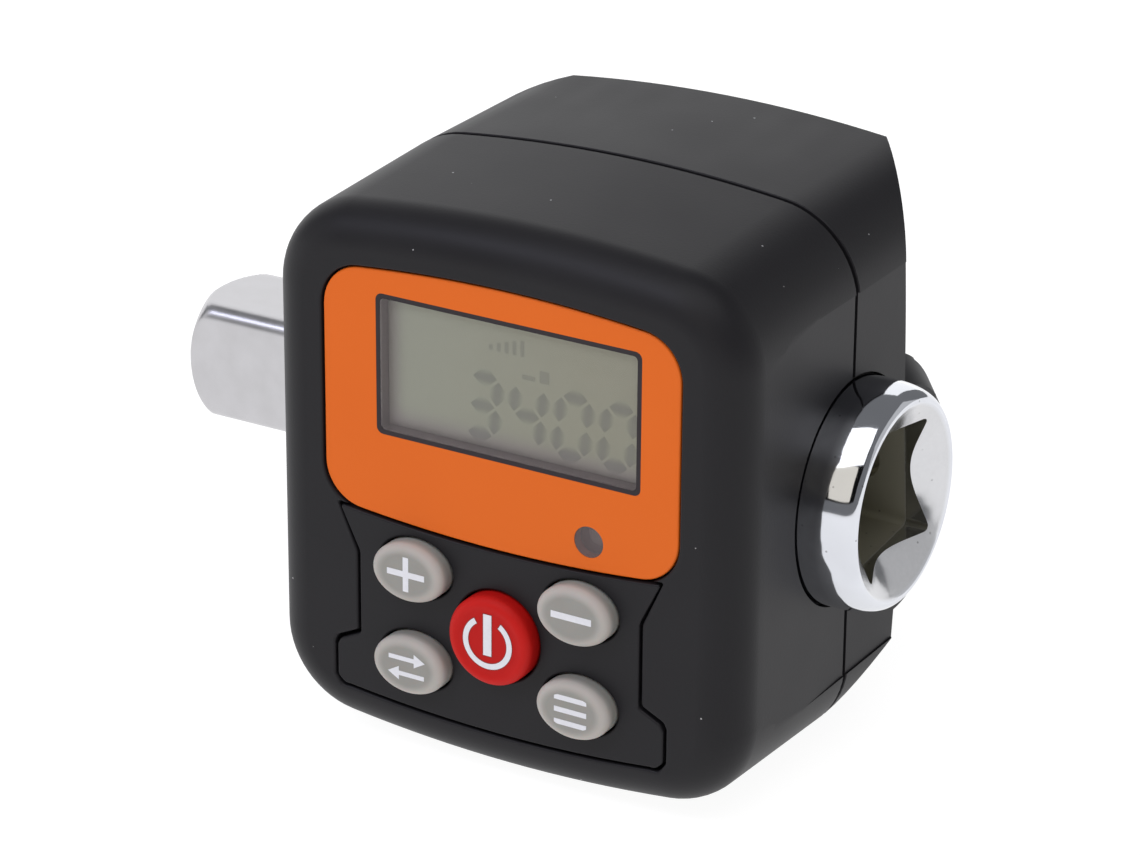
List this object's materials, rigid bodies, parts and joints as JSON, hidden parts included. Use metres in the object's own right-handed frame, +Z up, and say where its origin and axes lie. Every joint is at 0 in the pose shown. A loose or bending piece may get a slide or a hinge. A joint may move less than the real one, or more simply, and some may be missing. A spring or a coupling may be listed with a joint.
{
  "type": "digital torque adapter",
  "caption": "Square-drive torque adapter: a steel shaft with a female and a male square end, clamped in a black moulded case with an orange display panel, keys and a battery bay.",
  "frame": {"origin": "centre of the female square's mouth, on the drive axis", "axes": "+X out of the female socket along the drive axis, -Y out of the display, +Z up towards the top of the display"},
  "size_m": [0.083, 0.0541, 0.0602],
  "materials": {
    "shell_black": "fine matt spark texture, black",
    "cover_black": "fine matt texture, black",
    "panel_black": "smooth matt black",
    "lens_orange": "clear acrylic printed orange behind, glossy",
    "adhesive": "black adhesive foam",
    "key_grey": "warm grey silicone, satin, white print",
    "key_red": "red silicone, satin, white print",
    "carbon_pill": "matt conductive rubber",
    "mat_grey": "matt grey silicone",
    "pad_gold": "gold-plated copper",
    "board_green": "green solder mask over glass epoxy",
    "screw_zinc": "zinc-plated steel",
    "lcd_grey": "grey-green reflective liquid crystal cell",
    "holder_black": "black moulded frame",
    "guide_white": "white light guide",
    "strip_pink": "pink and black elastomer strip",
    "led_clear": "clear epoxy",
    "chip_black": "black moulding compound",
    "ceramic_tan": "tan ceramic with tinned ends",
    "shaft_chrome": "polished chrome collar, satin male square, dark polished socket",
    "ball_steel": "polished bearing steel",
    "spring_steel": "drawn spring steel",
    "pin_steel": "ground steel",
    "seal_black": "matt nitrile rubber",
    "foil_amber": "amber polyimide foil with copper tracks",
    "cell_jacket": "plain dark grey jacket with bright steel ends",
    "lead_red": "red insulated wire",
    "screw_black": "blackened steel"
  },
  "bodies": {
    "case": {"front_shell": "shell_black", "rear_shell": "shell_black", "display_lens": "lens_orange", "lens_gasket": "adhesive", "keypad_panel": "panel_black", "keypad_mat": "mat_grey", "contact_pads": "pad_gold", "circuit_board": "board_green", "board_screws": "screw_zinc", "lcd_glass": "lcd_grey", "lcd_holder": "holder_black", "lcd_backlight": "guide_white", "lcd_connectors": "strip_pink", "status_led": "led_clear", "main_chip": "chip_black", "amplifier_chip": "chip_black", "small_parts": "ceramic_tan", "buzzer": "chip_black", "drive_shaft": "shaft_chrome", "detent_spring": "spring_steel", "seal_female": "seal_black", "seal_male": "seal_black", "strain_gauges": "foil_amber", "gauge_flex": "foil_amber", "locating_pin": "pin_steel", "battery_upper": "cell_jacket", "battery_lower": "cell_jacket", "battery_springs": "spring_steel", "battery_plates": "spring_steel", "battery_leads": "lead_red", "case_screws": "screw_black"},
    "plus_button": {"plus_key": "key_grey", "plus_pill": "carbon_pill"},
    "minus_button": {"minus_key": "key_grey", "minus_pill": "carbon_pill"},
    "power_button": {"power_key": "key_red", "power_pill": "carbon_pill"},
    "units_button": {"units_key": "key_grey", "units_pill": "carbon_pill"},
    "menu_button": {"menu_key": "key_grey", "menu_pill": "carbon_pill"},
    "ball": {"detent_ball": "ball_steel"},
    "bay_cover": {"battery_cover": "cover_black"}
  },
  "joints": [
    {"name": "plus_press", "type": "slide", "parent": "case", "child": "plus_button", "axis": [0, 1, 0], "range_m": [0, 0.001], "stiffness_N_per_m": 1500},
    {"name": "minus_press", "type": "slide", "parent": "case", "child": "minus_button", "axis": [0, 1, 0], "range_m": [0, 0.001], "stiffness_N_per_m": 1500},
    {"name": "power_press", "type": "slide", "parent": "case", "child": "power_button", "axis": [0, 1, 0], "range_m": [0, 0.001], "stiffness_N_per_m": 1500},
    {"name": "units_press", "type": "slide", "parent": "case", "child": "units_button", "axis": [0, 1, 0], "range_m": [0, 0.001], "stiffness_N_per_m": 1500},
    {"name": "menu_press", "type": "slide", "parent": "case", "child": "menu_button", "axis": [0, 1, 0], "range_m": [0, 0.001], "stiffness_N_per_m": 1500},
    {"name": "ball_press", "type": "slide", "parent": "case", "child": "ball", "axis": [0, -1, 0], "range_m": [0, 0.0011], "stiffness_N_per_m": 3000, "deforming": ["detent_spring"]},
    {"name": "cover_pull", "type": "slide", "parent": "case", "child": "bay_cover", "axis": [0, 1, 0], "range_m": [0, 0.012]}
  ]
}
